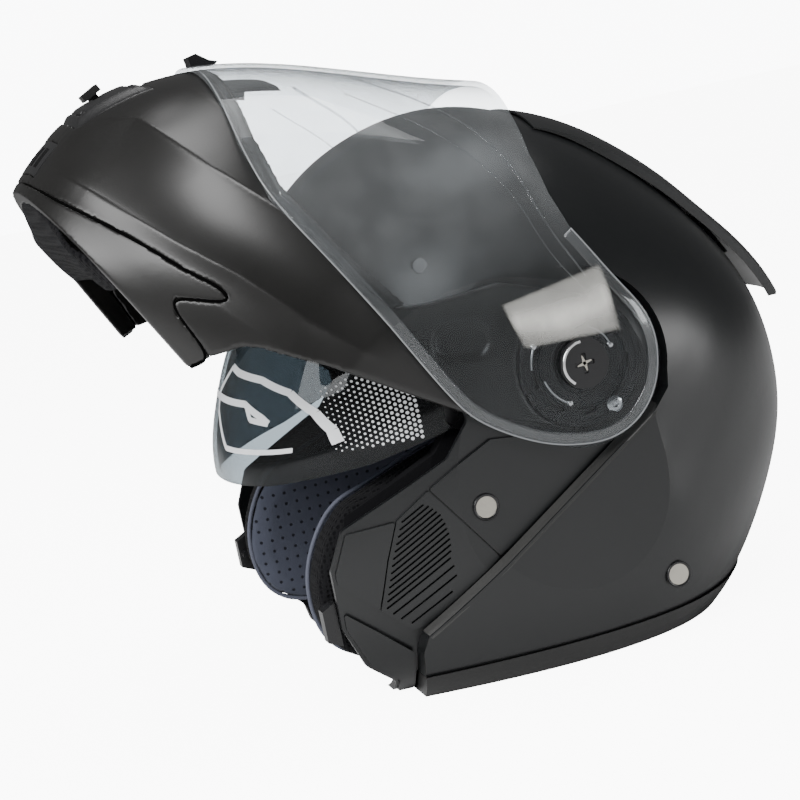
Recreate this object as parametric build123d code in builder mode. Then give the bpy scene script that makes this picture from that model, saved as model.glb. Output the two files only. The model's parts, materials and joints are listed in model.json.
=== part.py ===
"""Modular motorcycle helmet with a flip-up chin bar, drawn with the chin bar raised.

Millimetres. The helmet stands on its rim at z = 0, faces -Y, the wearer's left is +X.
Every outline is written from the chin-bar pivot axis: u runs to the rear, v runs up.
"""
from build123d import *
from math import cos, radians, sin
import os

os.makedirs("parts", exist_ok=True)

# ---------------------------------------------------------------- placement
PIVOT_Y = 30.3
PIVOT_Z = 131.0
RAISED_ANGLE = 62.0
FLOOR = -PIVOT_Z

# ---------------------------------------------------------------- layers, half widths from the middle plane
SHELL_HALF = 121.0
SHELL_CAP = 119.0
FLOOR_HALF = 112.5
FLOOR_CAP = 109.5
INNER_HALF = 110.0
INNER_CAP = 106.5
PLATE_CAP = 111.2
ARM_IN = 112.4
ARM_OUT = 117.4
LENS_IN = 118.4
LENS_OUT = 121.0
PIN_RADIUS = 9.0
PIN_CLEARANCE = 0.05
RIM_HEIGHT = 11.0
TRIM_FRONT = -91.4

# ---------------------------------------------------------------- sun visor hinge
SUN_U = 5.0
SUN_V = -50.0
SUN_ARM_IN = 94.2
SUN_ARM_OUT = 96.6

# Reach of the closed helmet skin from the pivot axis, by direction.
# (direction in degrees from straight ahead and upwards, reach, fullness of the cross shape)
SKIN = [
    (-36, 238, 2.5), (-20, 221, 2.25), (-8, 190.5, 2.2), (10, 146, 2.2),
    (28, 125.5, 2.2), (42, 121.5, 2.2), (56, 121, 2.15), (70, 119.5, 2.15), (86, 117, 2.15),
    (104, 111, 2.15), (122, 106, 2.15), (138, 105, 2.2), (154, 109.5, 2.25), (168, 118, 2.25),
    (182, 128, 2.25), (197, 138, 2.25), (211, 146, 2.3), (224, 151, 2.45), (238, 152.5, 3.1),
    (254, 152, 4.4), (272, 150, 5.6), (292, 160, 5.0), (309, 190, 3.6),
]

# Reach of the hollow in the impact liner, same directions.
HOLLOW = [
    (-36, 175, 4.0), (-20, 140, 3.0), (-8, 115, 2.6), (10, 100, 2.4),
    (28, 91, 2.3), (42, 88, 2.3), (56, 88, 2.3), (70, 87, 2.3), (86, 85, 2.3),
    (104, 84, 2.3), (122, 83, 2.3), (138, 84, 2.3), (154, 88, 2.3), (168, 94, 2.3),
    (182, 100, 2.4), (197, 104, 2.5), (211, 106, 2.8), (224, 113, 3.2), (238, 129, 4.0),
    (254, 141, 5.0), (272, 175, 6.0), (292, 185, 5.5), (309, 190, 5.0),
]
HOLLOW_HALF = 86.0

# Reach of the outside of the impact liner; its front is set back so the sun visor can swing up over it.
LINER = [
    (-36, 222, 2.5), (-20, 206, 2.25), (-8, 150, 2.2), (10, 103, 2.2),
    (28, 93, 2.2), (42, 91.5, 2.2), (56, 92.5, 2.15), (70, 93, 2.15), (86, 93, 2.15),
    (104, 96, 2.15), (122, 100, 2.15), (138, 100, 2.2), (154, 104.5, 2.25), (168, 113, 2.25),
    (182, 123, 2.25), (197, 133, 2.25), (211, 141, 2.3), (224, 146, 2.45), (238, 147.5, 3.1),
    (254, 147, 4.4), (272, 145, 5.6), (292, 150, 5.0), (309, 175, 3.6),
]
LINER_HALF = 94.5
LINER_CAP = 91.2

# Reach of the smoked sun visor in its lowered place.
SUN = [
    (-36, 148, 2.3), (-22, 148, 2.3), (-12, 145.5, 2.3), (0, 135, 2.3), (8, 128.4, 2.3), (16, 122.4, 2.3),
    (24, 117, 2.3), (34, 111, 2.3), (50, 105, 2.3), (75, 100, 2.3), (105, 98, 2.3), (140, 98, 2.3),
    (180, 100, 2.3), (220, 105, 2.3), (255, 115, 2.3), (290, 130, 2.3), (307, 140, 2.3),
]
SUN_HALF = 101.0

STATIONS = [-1.0, -0.965, -0.88, -0.72, -0.42, 0.0, 0.42, 0.72, 0.88, 0.965, 1.0]


def side_plane(turn):
    """Side-view sketch plane on the pivot axis, turned back by an angle about that axis."""
    return Plane(
        origin=(0, PIVOT_Y, PIVOT_Z),
        x_dir=(0, cos(radians(turn)), -sin(radians(turn))),
        z_dir=(1, 0, 0),
    )


FIXED = side_plane(0.0)
RAISED = side_plane(RAISED_ANGLE)


def polar(direction, reach):
    """Side-view point from a direction (0 ahead, 90 up) and a reach from the pivot axis."""
    return (-reach * cos(radians(direction)), reach * sin(radians(direction)))


def section(rows, x, half, change):
    """Side outline of a domed body at one distance from the middle plane."""
    points = []
    for direction, reach, full in rows:
        shrink = (1.0 - (abs(x) / half) ** full) ** (1.0 / full)
        points.append(polar(direction, (reach + change(direction)) * shrink))
    return points


def domed(plane, rows, half, cap, change):
    """Solid lofted through side outlines from one flat cap to the other."""
    with BuildPart(mode=Mode.PRIVATE) as solid:
        for station in STATIONS:
            with BuildSketch(plane.offset(station * cap)):
                with BuildLine():
                    Spline(*section(rows, station * cap, half, change), periodic=True)
                make_face()
        loft()
    return solid.part


def even(amount):
    """Same change of reach in every direction."""
    return lambda direction: amount


def shell_wall(direction):
    """Wall thickness of the shell: thin on the dome, deep behind the recessed cheek."""
    ahead = direction if direction < 180 else direction - 360
    if -70 < ahead < 20:
        return -13.5
    if 20 < ahead < 34:
        return -11.0
    if -90 < ahead < 48:
        return -9.0
    if 48 < ahead < 62:
        return -6.0
    return -4.0


def prism(plane, points, start, end, corner=0.0):
    """Closed polygon in side view, extruded across the helmet."""
    with BuildPart(mode=Mode.PRIVATE) as solid:
        with BuildSketch(plane.offset(start)) as outline:
            with BuildLine():
                Polyline(*points, close=True)
            make_face()
            if corner > 0:
                fillet(outline.vertices(), corner)
        extrude(amount=end - start)
    return solid.part


def block(x0, x1, v0, v1, u0=-300.0, u1=300.0):
    """Plain box in pivot coordinates of the fixed frame."""
    with BuildPart(mode=Mode.PRIVATE) as solid:
        with Locations((0.5 * (x0 + x1), PIVOT_Y + 0.5 * (u0 + u1), PIVOT_Z + 0.5 * (v0 + v1))):
            Box(x1 - x0, u1 - u0, v1 - v0)
    return solid.part


def disc(plane, u, v, radius, start, end):
    """Round bar across the helmet."""
    with BuildPart(mode=Mode.PRIVATE) as solid:
        with BuildSketch(plane.offset(start)):
            with Locations((u, v)):
                Circle(radius)
        extrude(amount=end - start)
    return solid.part


def save(solid, name):
    """Label a finished piece and write it out."""
    solid.label = name
    export_step(solid, "parts/" + name + ".step")


# ---------------------------------------------------------------- shared bodies
skin = domed(FIXED, SKIN, SHELL_HALF, SHELL_CAP, even(0))
recess_floor = domed(FIXED, SKIN, FLOOR_HALF, FLOOR_CAP, even(-9.5))
plate_skin = domed(FIXED, SKIN, FLOOR_HALF + 1.8, PLATE_CAP, even(-7.8))
shell_hollow = domed(FIXED, SKIN, INNER_HALF, INNER_CAP, shell_wall)
rim_skin = domed(FIXED, SKIN, SHELL_HALF + 1.0, SHELL_CAP, even(1.0))
rim_hollow = domed(FIXED, SKIN, 103.0, 99.0, even(-15))
liner_skin = domed(FIXED, LINER, LINER_HALF, LINER_CAP, even(0))
head_hollow = domed(FIXED, HOLLOW, HOLLOW_HALF, HOLLOW_HALF - 2.5, even(0))
crown_skin = domed(FIXED, HOLLOW, HOLLOW_HALF - 0.6, HOLLOW_HALF - 3.2, even(-0.6))
crown_hollow = domed(FIXED, HOLLOW, HOLLOW_HALF - 9.0, HOLLOW_HALF - 11.5, even(-8.5))
neck_hollow = domed(FIXED, HOLLOW, HOLLOW_HALF - 8.0, HOLLOW_HALF - 10.5, even(-8))
sun_skin = domed(FIXED, SUN, SUN_HALF, SUN_HALF - 2.0, even(0))
sun_hollow = domed(FIXED, SUN, SUN_HALF - 2.2, SUN_HALF - 4.2, even(-2.2))
chin_skin = domed(RAISED, SKIN, SHELL_HALF, ARM_OUT, even(0))
chin_hollow = domed(RAISED, SKIN, SHELL_HALF - 5.0, ARM_IN, even(-6))
chin_pad_skin = domed(RAISED, SKIN, SHELL_HALF - 5.5, ARM_IN - 0.5, even(-6.5))
chin_pad_hollow = domed(RAISED, SKIN, SHELL_HALF - 18.0, ARM_IN - 13.0, even(-20))
lens_skin = domed(RAISED, SKIN, SHELL_HALF + 3.5, LENS_OUT, even(3.4))
lens_hollow = domed(RAISED, SKIN, SHELL_HALF + 0.9, LENS_IN, even(0.8))

# ---------------------------------------------------------------- side outlines
RECESS = [
    (-260, 22), (-60, 22), (-46, 37), (-34, 43.5), (-26, 44), (0, 42), (27, 31), (41, 0),
    (38, -20), (30, -28), (-88, -101), (-91, -108), (-91, -160), (-260, -160),
]
FACE = [
    (-260, 66), (-104, 66), (-84, 54), (-66, 34), (-54, 8), (-52, -14), (-64, -28), (-92, -40),
    (-113, -49), (-121, -66), (-121, -92), (-113, -112), (-100, -124), (-100, -170), (-260, -170),
]
CHIN = [
    (-18, 23), (-50, -6), (-64, -36), (-72, -48), (-97, -52), (-137, -53), (-160, -46), (-178, -36),
    (-192, -29), (-260, -24), (-260, -122), (-206, -122), (-190, -119), (-161, -108), (-137, -101),
    (-124, -95.5), (-117, -95.5), (-119, -100), (-131, -112), (-127, -115), (-104, -116.5),
    (-99.6, -104.4), (-94.6, -99), (-74, -85.4), (-42, -67), (-13, -50), (16, -24),
]
SKIRT = [
    (-260, -122.4), (-206, -122.4), (-190, -119.4), (-161, -108.4), (-137, -101.4), (-124, -96),
    (-117.6, -96), (-119.6, -100.3), (-132, -112.3), (-127, -115.5), (-104, -117), (-106, -126),
    (-260, -126),
]
SEAL = [
    (-72, -47.5), (-97, -51.8), (-137, -52.8), (-160, -45.8), (-178, -35.8), (-192, -28.8),
    (-260, -23.8), (-260, -19.5), (-192, -24.5), (-176, -31.5), (-158, -41.5), (-137, -48.5),
    (-97, -47.5), (-70, -43.5),
]
LENS = [
    (0, 34), (-46, 34), (-62, 38), (-78, 46), (-92, 57), (-106, 71.5), (-160, 118), (-260, 118),
    (-260, -27.5), (-192, -32), (-178, -39), (-160, -49), (-137, -56), (-97, -55), (-30, -54),
    (-14, -52), (4, -43), (20, -31), (30, -8), (24, 22),
]
UPPER_PLATE = [
    (-44, -24), (-60, -31), (-74.6, -38.8), (-49.6, -74.6), (-38, -68), (-14, -53), (12, -37),
    (-6, -34), (-30, -26),
]
FLUTED_PLATE = [
    (-90.6, -49), (-75.2, -39.2), (-50.2, -75), (-86.5, -97.6), (-92.4, -98.2), (-104.2, -86.4), (-97.2, -65),
]
FRONT_PLATE = [(-112.4, -50.6), (-91.3, -49.4), (-97.8, -65), (-104.8, -86), (-119.6, -71.4), (-119.6, -66.6)]
LOWER_PLATE = [
    (-119.6, -84.4), (-106.2, -96.4), (-93, -109), (-92, -130.2), (-98.8, -130.2), (-98.8, -123),
    (-111.8, -111), (-119.6, -91.8),
]
CHEEK = [
    (-46, -24), (-64, -29), (-91, -39), (-106, -43), (-117, -54), (-126, -72), (-127, -92),
    (-121, -108), (-106, -117), (-60, -119), (-4, -119), (4, -96), (4, -52), (-12, -30),
]

recess = prism(FIXED, RECESS, -140, 140, 3.0)
recess_ring = disc(FIXED, 0, 0, 41.0, -140, 140)
face_opening = prism(FIXED, FACE, -140, 140, 4.0)
below_shell = block(-140, 140, -220, FLOOR + RIM_HEIGHT, TRIM_FRONT) + block(-140, 140, -220, FLOOR + 0.5)

# ---------------------------------------------------------------- outer shell
SLIDER_U = 10.0
SLIDER_V = -75.0
SLIDER_TRAVEL = 24.0

with BuildPart() as outer_shell:
    add(skin)
    add(recess, mode=Mode.SUBTRACT)
    add(recess_ring, mode=Mode.SUBTRACT)
    add(recess_floor)
    add(shell_hollow, mode=Mode.SUBTRACT)
    add(face_opening, mode=Mode.SUBTRACT)
    add(below_shell, mode=Mode.SUBTRACT)
    with BuildSketch(FIXED.offset(-140)):
        Circle(PIN_RADIUS)
    extrude(amount=280, mode=Mode.SUBTRACT)
    with BuildSketch(FIXED.offset(-140)):
        with Locations((SLIDER_U, SLIDER_V)):
            SlotOverall(SLIDER_TRAVEL + 14, 5.0)
    extrude(amount=40, mode=Mode.SUBTRACT)
save(outer_shell.part, "outer_shell")

# ---------------------------------------------------------------- rim trim
with BuildPart() as rim_trim:
    add(rim_skin)
    add(rim_hollow, mode=Mode.SUBTRACT)
    add(block(-140, 140, FLOOR, FLOOR + RIM_HEIGHT - 0.3, TRIM_FRONT + 0.3, 200), mode=Mode.INTERSECT)
save(rim_trim.part, "rim_trim")

# ---------------------------------------------------------------- impact liner
with BuildPart() as impact_liner:
    add(liner_skin)
    add(head_hollow, mode=Mode.SUBTRACT)
    add(face_opening, mode=Mode.SUBTRACT)
    add(block(-140, 140, -220, FLOOR + RIM_HEIGHT + 0.3), mode=Mode.SUBTRACT)
    for start in (-83.5, 50.0):
        with BuildSketch(FIXED.offset(start)):
            with BuildLine():
                Polyline(*CHEEK, close=True)
            make_face()
            offset(amount=1.2)
        extrude(amount=33.5, mode=Mode.SUBTRACT)
save(impact_liner.part, "impact_liner")

# ---------------------------------------------------------------- comfort lining
with BuildPart() as crown_lining:
    add(crown_skin)
    add(crown_hollow, mode=Mode.SUBTRACT)
    add(face_opening, mode=Mode.SUBTRACT)
    add(block(-140, 140, -220, -8), mode=Mode.SUBTRACT)
save(crown_lining.part, "crown_lining")

with BuildPart() as neck_roll:
    add(crown_skin)
    add(neck_hollow, mode=Mode.SUBTRACT)
    add(domed(FIXED, SKIN, 102.5, 98.5, even(-15.5)), mode=Mode.INTERSECT)
    add(block(-140, 140, FLOOR + 3.0, -106, 8, 200), mode=Mode.INTERSECT)
save(neck_roll.part, "neck_roll")

CHEEK_THICK = 24.4
for side, start in (("left", 56.0), ("right", -56.0 - CHEEK_THICK)):
    with BuildPart() as cheek_pad:
        with BuildSketch(FIXED.offset(start)) as cheek:
            with BuildLine():
                Polyline(*CHEEK, close=True)
            make_face()
            fillet(cheek.vertices(), 4.0)
        extrude(amount=CHEEK_THICK)
    save(cheek_pad.part, "cheek_pad_" + side)

# ---------------------------------------------------------------- plates on the recessed sides
FLUTE_TILT = 28.0
FLUTES = [  # front end of each slot and its length
    (-88.8, -50, 12), (-90.2, -53, 16), (-91.5, -56, 19), (-92.8, -59, 22),
    (-94.1, -62, 25), (-95.4, -65, 27), (-96.4, -68, 29), (-97.4, -71, 30.5),
    (-98.3, -74, 32), (-99.3, -77, 33), (-100.2, -80, 34), (-101.1, -83, 34.5),
    (-101.8, -86, 34.5), (-99.6, -89, 33), (-96.6, -92, 30), (-92.5, -95, 22),
]

for side, start, stop in (("left", 60.0, 140.0), ("right", -140.0, -60.0)):
    with BuildPart() as upper_plate:
        add(plate_skin)
        add(recess_floor, mode=Mode.SUBTRACT)
        add(prism(FIXED, UPPER_PLATE, start, stop, 1.0), mode=Mode.INTERSECT)
        with BuildSketch(FIXED.offset(start)):
            with Locations((-52, -52)):
                Circle(5.8)
            Circle(29.0)
        extrude(amount=80, mode=Mode.SUBTRACT)
    save(upper_plate.part, "side_plate_" + side)

    with BuildPart() as fluted_plate:
        add(plate_skin)
        add(recess_floor, mode=Mode.SUBTRACT)
        add(prism(FIXED, FLUTED_PLATE, start, stop, 1.0), mode=Mode.INTERSECT)
        with BuildSketch(FIXED.offset(start)):
            for front, height, length in FLUTES:
                middle = front + 0.5 * length * cos(radians(FLUTE_TILT))
                level = height + 0.5 * length * sin(radians(FLUTE_TILT))
                with Locations(Location((middle, level, 0), FLUTE_TILT)):
                    SlotOverall(length, 0.9)
        extrude(amount=80, mode=Mode.SUBTRACT)
    save(fluted_plate.part, "fluted_plate_" + side)

    with BuildPart() as front_plate:
        add(plate_skin)
        add(recess_floor, mode=Mode.SUBTRACT)
        add(prism(FIXED, FRONT_PLATE, start, stop, 0.8), mode=Mode.INTERSECT)
    save(front_plate.part, "front_plate_" + side)

    with BuildPart() as lower_plate:
        add(plate_skin)
        add(recess_floor, mode=Mode.SUBTRACT)
        add(prism(FIXED, LOWER_PLATE, start, stop, 0.8), mode=Mode.INTERSECT)
    save(lower_plate.part, "lower_plate_" + side)

# ---------------------------------------------------------------- chin-bar latch strikers on the shell
for side, start, pin_start in (("left", 84.6, 80.6), ("right", -91.6, -91.6)):
    with BuildPart() as striker:
        with BuildSketch(FIXED.offset(start)):
            with BuildLine():
                Polyline((-121.3, -80), (-127.5, -83), (-127.5, -97), (-121.3, -100), close=True)
            make_face()
        extrude(amount=7)
        with BuildSketch(FIXED.offset(pin_start)):
            with Locations((-124.2, -90)):
                Circle(2.2)
        extrude(amount=11)
    save(striker.part, "latch_striker_" + side)

# ---------------------------------------------------------------- rivets and studs
with BuildPart() as side_rivets:
    for sign in (-1, 1):
        with BuildSketch(FIXED.offset(sign * 109.5)):
            with Locations((-52, -52)):
                Circle(5.6)
        extrude(amount=sign * 2.3)
        with BuildSketch(FIXED.offset(sign * 109.0)):
            with Locations((27.6, -103)):
                Circle(5.6)
        extrude(amount=sign * 7.8)
    add(outer_shell.part, mode=Mode.SUBTRACT)
save(side_rivets.part, "side_rivets")

with BuildPart() as dome_studs:
    for sign in (-1, 1):
        with BuildSketch(FIXED.offset(sign * 95.0)):
            with Locations((-56, 54)):
                Circle(3.2)
        extrude(amount=sign * 4.4)
    add(outer_shell.part, mode=Mode.SUBTRACT)
save(dome_studs.part, "dome_studs")

# ---------------------------------------------------------------- pivot hardware on the shell
for side, sign in (("left", 1), ("right", -1)):
    with BuildPart() as pivot_base:
        with BuildSketch(FIXED.offset(sign * FLOOR_CAP)):
            Circle(28.0)
            Circle(PIN_RADIUS, mode=Mode.SUBTRACT)
            with PolarLocations(20.0, 3, start_angle=30):
                Circle(3.0, mode=Mode.SUBTRACT)
        extrude(amount=sign * 1.8)
    save(pivot_base.part, "pivot_base_" + side)

    with BuildPart() as pivot_pin:
        with BuildSketch(FIXED.offset(sign * 107.0)):
            Circle(PIN_RADIUS)
        extrude(amount=sign * 14.4)
        with BuildSketch(FIXED.offset(sign * 121.4)):
            Circle(11.0)
        extrude(amount=sign * 1.6)
        with BuildSketch(FIXED.offset(sign * 123.0)):
            RectangleRounded(9.0, 2.0, 0.5)
            RectangleRounded(2.0, 9.0, 0.5)
        extrude(amount=-sign * 0.8, mode=Mode.SUBTRACT)
    save(pivot_pin.part, "pivot_pin_" + side)

# ---------------------------------------------------------------- rear spoiler
SPOILER = [
    (103, 0.4), (112, 2.2), (122, 4.4), (134, 5.6), (146, 6.4), (156, 7.6), (166, 10.6),
    (175, 14.5), (181, 16.6),
]
SPOILER_THICK = 4.2


def spoiler_section(x):
    """Thin wing outline that leaves the shell and runs out to a tail edge."""
    top = []
    under = []
    for direction, lift in SPOILER:
        near = min(SKIN, key=lambda row: abs(row[0] - direction))
        others = [row for row in SKIN if row is not near]
        mate = min(others, key=lambda row: abs(row[0] - direction))
        share = (direction - near[0]) / (mate[0] - near[0])
        reach = near[1] + share * (mate[1] - near[1])
        full = near[2] + share * (mate[2] - near[2])
        shell_reach = reach * (1.0 - (abs(x) / SHELL_HALF) ** full) ** (1.0 / full)
        droop = 1.0 - 0.35 * (abs(x) / 56.0) ** 2
        upper = shell_reach + lift * droop + 1.0
        top.append(polar(direction, upper))
        under.append(polar(direction, max(upper - SPOILER_THICK, shell_reach + 0.5)))
    return top, under[::-1]


with BuildPart() as spoiler:
    for x in (-56, -38, -19, 0, 19, 38, 56):
        top, under = spoiler_section(x)
        with BuildSketch(FIXED.offset(x)):
            with BuildLine():
                Spline(*top)
                Line(top[-1], under[0])
                Spline(*under)
                Line(under[-1], top[0])
            make_face()
    loft()
save(spoiler.part, "spoiler")

with BuildPart() as exhaust_grille:
    add(domed(FIXED, SKIN, SHELL_HALF + 1.0, SHELL_CAP, even(3.0)))
    add(rim_skin, mode=Mode.SUBTRACT)
    add(
        prism(FIXED, [polar(159, 90), polar(159, 140), polar(170, 140), polar(170, 90)], -36, 36),
        mode=Mode.INTERSECT,
    )
    for x in (-27, -18, -9, 0, 9, 18, 27):
        with BuildSketch(FIXED.offset(x - 3.0)):
            with Locations(polar(165, 118)):
                Rectangle(16, 13)
        extrude(amount=6, mode=Mode.SUBTRACT)
save(exhaust_grille.part, "exhaust_grille")

# ---------------------------------------------------------------- chin bar
CHIN_VENT = prism(RAISED, [(-260, -90), (-150, -90), (-150, -52), (-260, -52)], -30, 30, 4.0)
CHIN_INTAKE = prism(RAISED, [(-260, -117), (-150, -117), (-150, -100), (-260, -100)], -26, 26, 4.0)

with BuildPart() as chin_bar:
    add(chin_skin)
    add(chin_hollow, mode=Mode.SUBTRACT)
    add(prism(RAISED, CHIN, -140, 140, 2.0) + disc(RAISED, 0, 0, 29.0, -140, 140), mode=Mode.INTERSECT)
    add(CHIN_VENT, mode=Mode.SUBTRACT)
    add(CHIN_INTAKE, mode=Mode.SUBTRACT)
    with BuildSketch(RAISED.offset(-140)):
        Circle(PIN_RADIUS + PIN_CLEARANCE)
    extrude(amount=280, mode=Mode.SUBTRACT)
    for sign in (-1, 1):
        with BuildSketch(RAISED.offset(sign * 115.4)):
            Circle(28.4)
        extrude(amount=sign * 10, mode=Mode.SUBTRACT)
        with BuildSketch(RAISED.offset(sign * 115.6)):
            with Locations((-41.7, -34.5)):
                SlotOverall(25, 15, rotation=56)
        extrude(amount=sign * 10, mode=Mode.SUBTRACT)
save(chin_bar.part, "chin_bar")

with BuildPart() as chin_skirt:
    add(chin_skin)
    add(chin_hollow, mode=Mode.SUBTRACT)
    add(prism(RAISED, SKIRT, -140, 140, 0.0), mode=Mode.INTERSECT)
save(chin_skirt.part, "chin_skirt")

with BuildPart() as eyeport_seal:
    add(chin_skin)
    add(chin_hollow, mode=Mode.SUBTRACT)
    add(prism(RAISED, SEAL, -140, 140, 0.0), mode=Mode.INTERSECT)
save(eyeport_seal.part, "eyeport_seal")

with BuildPart() as chin_vent_frame:
    add(chin_skin)
    add(chin_hollow, mode=Mode.SUBTRACT)
    add(CHIN_VENT, mode=Mode.INTERSECT)
    with BuildSketch(RAISED.offset(-23)):
        with Locations((-206, -83), (-206, -58)):
            Rectangle(30, 3.4)
    extrude(amount=46, mode=Mode.SUBTRACT)
    with BuildSketch(RAISED.offset(-8)):
        with Locations((-206, -71)):
            Rectangle(30, 5.2)
    extrude(amount=20, mode=Mode.SUBTRACT)
save(chin_vent_frame.part, "chin_vent_frame")

with BuildPart() as chin_intake:
    add(chin_skin)
    add(chin_hollow, mode=Mode.SUBTRACT)
    add(CHIN_INTAKE, mode=Mode.INTERSECT)
    for x in (-18, -9, 0, 9, 18):
        with BuildSketch(RAISED.offset(x - 3.0)):
            with Locations((-206, -108.5)):
                Rectangle(40, 10)
        extrude(amount=6, mode=Mode.SUBTRACT)
save(chin_intake.part, "chin_intake")

with BuildPart() as chin_liner:
    add(chin_pad_skin)
    add(chin_pad_hollow, mode=Mode.SUBTRACT)
    add(
        prism(RAISED, [(-260, -100), (-120, -100), (-120, -58), (-260, -58)], -76, 76, 3.0),
        mode=Mode.INTERSECT,
    )
    add(disc(RAISED, 0, 0, 161.0, -140, 140), mode=Mode.SUBTRACT)
    add(
        prism(RAISED, [(-260, -92), (-120, -92), (-120, -50), (-260, -50)], -32, 32, 3.0),
        mode=Mode.SUBTRACT,
    )
save(chin_liner.part, "chin_liner")

with BuildPart() as breath_guard:
    add(chin_pad_skin)
    add(domed(RAISED, SKIN, SHELL_HALF - 8.0, ARM_IN - 3.0, even(-9)), mode=Mode.SUBTRACT)
    add(
        prism(RAISED, [(-260, -54), (-120, -54), (-120, -10), (-260, -10)], -38, 38, 3.0),
        mode=Mode.INTERSECT,
    )
save(breath_guard.part, "breath_guard")

with BuildPart() as chin_curtain:
    add(chin_pad_skin)
    add(
        prism(RAISED, [(-260, -123.5), (-100, -123.5), (-100, -121), (-260, -121)], -78, 78),
        mode=Mode.INTERSECT,
    )
    add(disc(RAISED, 0, 0, 191.0, -140, 140), mode=Mode.SUBTRACT)
save(chin_curtain.part, "chin_curtain")

for side, start in (("left", 80.9), ("right", -83.9)):
    with BuildPart() as hook:
        with BuildSketch(RAISED.offset(start)):
            with BuildLine():
                Polyline(
                    polar(-39, 148), polar(-26, 148), polar(-26, 178), polar(-32.5, 178), polar(-34.5, 163),
                    polar(-39, 163), polar(-40, 157.6), polar(-33.5, 157.6), polar(-33.5, 150.6),
                    polar(-39.5, 150.6), close=True,
                )
            make_face()
        extrude(amount=3)
        add(chin_bar.part, mode=Mode.SUBTRACT)
    save(hook.part, "latch_hook_" + side)

for side, sign in (("left", 1), ("right", -1)):
    with BuildPart() as arm_plate:
        with BuildSketch(RAISED.offset(sign * 115.5)):
            Circle(28.0)
            Circle(PIN_RADIUS + PIN_CLEARANCE, mode=Mode.SUBTRACT)
            with PolarLocations(21.0, 9, start_angle=12):
                SlotOverall(7.0, 3.2, rotation=90, mode=Mode.SUBTRACT)
        extrude(amount=sign * 2.0)
    save(arm_plate.part, "arm_plate_" + side)

# ---------------------------------------------------------------- chin-bar controls
with BuildPart() as chin_vent_slider:
    with BuildSketch(RAISED.offset(-20)):
        with Locations((-194.0, -73)):
            Rectangle(1.6, 24)
    extrude(amount=36)
    with BuildSketch(RAISED.offset(-5)):
        with Locations((-203.75, -71)):
            Rectangle(18.5, 4.4)
    extrude(amount=5)
    with BuildSketch(RAISED.offset(-8)):
        with Locations((-212.2, -71)):
            Rectangle(3.2, 9)
    extrude(amount=11)
save(chin_vent_slider.part, "chin_vent_slider")

with BuildPart() as release_housing:
    with BuildSketch(RAISED.offset(-18)):
        with Locations((-188.0, -111)):
            Rectangle(18, 18)
    extrude(amount=36)
    with BuildSketch(RAISED.offset(-14)):
        with Locations((-184.0, -111)):
            Rectangle(14, 12)
    extrude(amount=28, mode=Mode.SUBTRACT)
    add(chin_hollow, mode=Mode.INTERSECT)
save(release_housing.part, "release_housing")

with BuildPart() as release_button:
    with BuildSketch(RAISED.offset(-13.6)):
        with Locations((-180.0, -111)):
            Rectangle(13, 11.2)
    extrude(amount=27.2)
    fillet(release_button.edges().filter_by(Axis.X), 1.0)
save(release_button.part, "release_button")

# ---------------------------------------------------------------- visor
HUB_RADIUS = 20.0
with BuildPart() as visor_lens:
    add(lens_skin)
    add(lens_hollow, mode=Mode.SUBTRACT)
    add(prism(RAISED, LENS, -140, 140, 0.0) + disc(RAISED, 0, 0, 36.5, -140, 140), mode=Mode.INTERSECT)
    with BuildSketch(RAISED.offset(-140)):
        Circle(HUB_RADIUS)
    extrude(amount=280, mode=Mode.SUBTRACT)
save(visor_lens.part, "visor_lens")

for side, sign in (("left", 1), ("right", -1)):
    with BuildPart() as visor_hub:
        with BuildSketch(RAISED.offset(sign * LENS_IN)):
            Circle(HUB_RADIUS)
            Circle(PIN_RADIUS + PIN_CLEARANCE, mode=Mode.SUBTRACT)
        extrude(amount=sign * (LENS_OUT - LENS_IN))
    save(visor_hub.part, "visor_hub_" + side)

with BuildPart() as visor_tab:
    with BuildSketch(RAISED.offset(-6)):
        with BuildLine():
            Polyline((-186, -24), (-191, -29), (-197, -27), (-196, -23), (-190, -20), (-187, -17), close=True)
        make_face()
    extrude(amount=12)
    add(lens_skin, mode=Mode.SUBTRACT)
save(visor_tab.part, "visor_tab")

# ---------------------------------------------------------------- sun visor
with BuildPart() as sun_lens:
    add(sun_skin)
    add(sun_hollow, mode=Mode.SUBTRACT)
    with BuildSketch(FIXED.offset(-140)):
        with BuildLine():
            Polyline(
                (-46, 20), (-64, 32), (-80, 39), (-118, 47), (-260, 60),
                (-260, -34), (-130, -32), (-90, -27), (-46, -16), close=True,
            )
        make_face()
    extrude(amount=280, mode=Mode.INTERSECT)
save(sun_lens.part, "sun_lens")

for side, start in (("left", SUN_ARM_IN), ("right", -SUN_ARM_OUT)):
    with BuildPart() as sun_arm:
        with BuildSketch(FIXED.offset(start)) as arm:
            with BuildLine():
                Polyline(
                    (-59, 8), (-47, 12), (SUN_U + 9, SUN_V + 6), (SUN_U + 7, SUN_V - 8),
                    (SUN_U - 7, SUN_V - 8), (-57, -16), close=True,
                )
            make_face()
            fillet(arm.vertices(), 4.0)
            with Locations((SUN_U, SUN_V)):
                Circle(3.05, mode=Mode.SUBTRACT)
        extrude(amount=SUN_ARM_OUT - SUN_ARM_IN)
        add(sun_lens.part, mode=Mode.SUBTRACT)
    save(sun_arm.part, "sun_arm_" + side)

with BuildPart() as sun_pins:
    for start in (93.8, -INNER_CAP):
        with BuildSketch(FIXED.offset(start)):
            with Locations((SUN_U, SUN_V)):
                Circle(3.0)
        extrude(amount=INNER_CAP - 93.8)
save(sun_pins.part, "sun_pins")

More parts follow.
